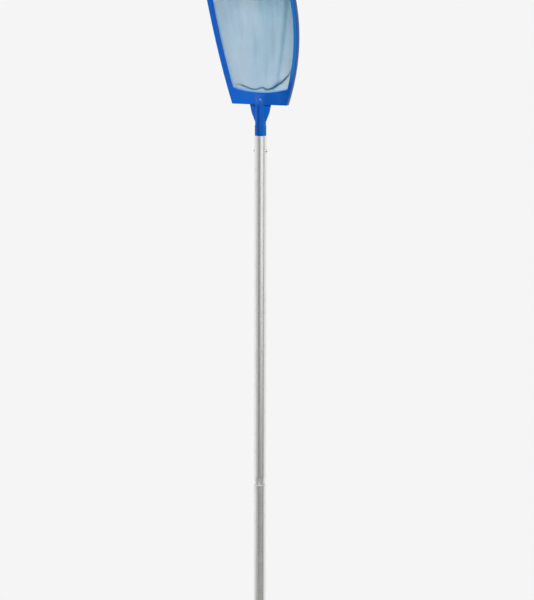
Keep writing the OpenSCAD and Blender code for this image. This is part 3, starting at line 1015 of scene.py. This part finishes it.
flute_steps = range(1, flute_rings + 1)
steps_up = [join_z + flute_rise * past_flutes * k / flute_rings for k in flute_steps]
upper_profile = [
    (male_bore_r, join_z - male_length), (male_r - rim_ease, join_z - male_length),
    (male_r, join_z - male_length + rim_ease), (male_r, joint_button_z - hole_band),
    (male_r, joint_button_z + hole_band), (male_r, join_z - 0.012), (male_r, join_z - 0.004),
    (male_r, join_z),
]
upper_profile += [(male_r + (tube_r - male_r) * (z - join_z) / taper, z) for z in steps_up]
upper_profile += [
    (tube_r - 0.00018, join_z + taper - 0.0022), (tube_r, join_z + taper + 0.001),
    (tube_r, join_z + taper + 0.004), (tube_r, join_z + taper + 0.012),
    (tube_r, head_button_z - hole_band), (tube_r, head_button_z + hole_band),
    (tube_r, pole_top - rim_ease), (tube_r - rim_ease, pole_top), (bore_r + rim_ease, pole_top),
    (bore_r, pole_top - rim_ease), (bore_r, head_button_z + hole_band),
    (bore_r, head_button_z - hole_band), (bore_r, join_z + taper), (male_bore_r, join_z),
    (male_bore_r, joint_button_z + hole_band), (male_bore_r, joint_button_z - hole_band),
]
upper = drawn_tube("upper_pole", upper_profile)
flute_apart, outer_face_r = math.tau / flute_count, male_r - 0.0002
for vertex in upper.data.vertices:
    x, y, z = vertex.co
    r = math.hypot(x, y)
    if join_z - flute_overrun < z < join_z + flute_rise and r > outer_face_r:
        turn = (math.atan2(x, -y) - flute_turn) % flute_apart
        off = min(turn, flute_apart - turn) * r
        share = 1 - max(0.0, z - join_z) / flute_rise
        half = flute_width / 2 * share
        if off < half:
            sunk = flute_depth * share * (1 - off / half)
            vertex.co.x, vertex.co.y = x * (r - sunk) / r, y * (r - sunk) / r
drill(upper, Vector((-outside, 0, head_button_z)), Vector((outside, 0, head_button_z)))
drill(upper, Vector((0, in_male_bore, joint_button_z)), Vector((0, outside, joint_button_z)))
settle_tube(upper, "upper_tube", "root")

# ---------------------------------------------------------------- Lower tube
# The same aluminium tube, plain from end to end. It is drilled with one button hole, a little
# below its rolled mouth.

lower_profile = [
    (bore_r, tube_foot), (tube_r - rim_ease, tube_foot), (tube_r, tube_foot + rim_ease),
    (tube_r, joint_button_z - hole_band), (tube_r, joint_button_z + hole_band),
    (tube_r, join_z - 0.0020), (tube_r, join_z - 0.0009), (tube_r - 0.00025, join_z - 0.0003),
    (tube_r - 0.0008, join_z), (bore_r + 0.0003, join_z), (bore_r, join_z - 0.0004),
    (bore_r, joint_button_z + hole_band), (bore_r, joint_button_z - hole_band),
]
lower = drawn_tube("lower_pole", lower_profile)
drill(lower, Vector((0, in_bore, joint_button_z)), Vector((0, outside, joint_button_z)))
settle_tube(lower, "lower_tube", "root")

# ---------------------------------------------------------------- End cap
# A plug moulded in blue plastic, with a tab and a hole to hang it by. It is pressed into the
# pole's foot, and is the most worn of the mouldings.

cap_plastic = moulded_plastic("cap_moulding", (0.002, 0.100, 0.48), 0.34, 0.15, 0.35, 0.9)
cap = eased_copy("end_cap", "foot_cap", "root", 0.0006)
cap.data.materials.append(cap_plastic)

# ---------------------------------------------------------------- Spring clips and snap buttons
# Two bent strips of spring steel, one in the neck and one in the joint, press domed steel buttons
# out through the holes in the tubes.


def steel_finish(name, tone, roughness, size, marks):
    """Bare steel: a drawn or tumbled skin with handling marks."""
    made, tree, shader, place = new_material(name, roughness, 0.5, 1.0)
    grain = noise_of(tree, place, size, 4.0, 0.65)
    touched = put(
        tree, "ShaderNodeGroup", None, {"node_tree": handling},
        Place=place, Size=size / 4, Amount=marks,
    )
    in_grain = eased(tree, grain, *usual_noise)
    colour = blend_colour(tree, in_grain, toned(tone, 0.86), toned(tone, 1.0))
    tree.links.new(colour, shader.inputs["Base Color"])
    dull = added(
        tree, roughness - 0.07, (grain, 0.14), (touched["Smudges"], 0.12),
        (touched["Scratches"], 0.18),
    )
    tree.links.new(dull, shader.inputs["Roughness"])
    bumped(tree, shader, grain, 0.15, 0.00006)
    return made


strip_steel = steel_finish("spring_strip_steel", (0.50, 0.49, 0.47), 0.34, 700.0, 0.6)
button_steel = steel_finish("button_steel", (0.66, 0.655, 0.64), 0.20, 1300.0, 0.8)
for node, name, body in (
    ("head_button_left", "left_snap_button", "left_button"),
    ("head_button_right", "right_snap_button", "right_button"),
    ("joint_button", "joint_snap_button", "joint_button"),
):
    button = eased_copy(node, name, body, 0.0003)
    button.data.materials.append(button_steel)

# A strip is parted where its bend turns back, and the leg behind a button is taken off the root
# body, with its place baked into its mesh.
for node, names, outwards, button_z, bodies in (
    (
        "head_clip_spring", ("head_spring_left_leg", "head_spring_right_leg"),
        Vector((-1, 0, 0)), head_button_z, ("left_button", "right_button"),
    ),
    (
        "joint_clip_spring", ("joint_spring_back_leg", "joint_spring_front_leg"),
        Vector((0, 1, 0)), joint_button_z, ("joint_button", None),
    ),
):
    strip = eased_copy(node, names[0], "root", 0.0002)
    strip.data.materials.append(strip_steel)
    reach = [v.co.dot(outwards) for v in strip.data.vertices]
    bend_middle = outwards * (max(reach) + min(reach)) / 2
    strip.select_set(True)
    bpy.context.view_layer.objects.active = strip
    bpy.ops.object.duplicate()
    other_leg = bpy.context.object
    other_leg.name = names[1]
    for leg, way, body in ((strip, outwards, bodies[0]), (other_leg, -outwards, bodies[1])):
        bpy.ops.object.select_all(action="DESELECT")
        leg.select_set(True)
        bpy.context.view_layer.objects.active = leg
        bpy.ops.object.mode_set(mode="EDIT")
        bpy.ops.mesh.select_all(action="SELECT")
        bpy.ops.mesh.bisect(
            plane_co=bend_middle, plane_no=way, clear_inner=True, use_fill=True
        )
        bpy.ops.object.mode_set(mode="OBJECT")
        leg.select_set(False)
        if body:
            leg.parent = None
            del leg["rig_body"]
            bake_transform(leg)
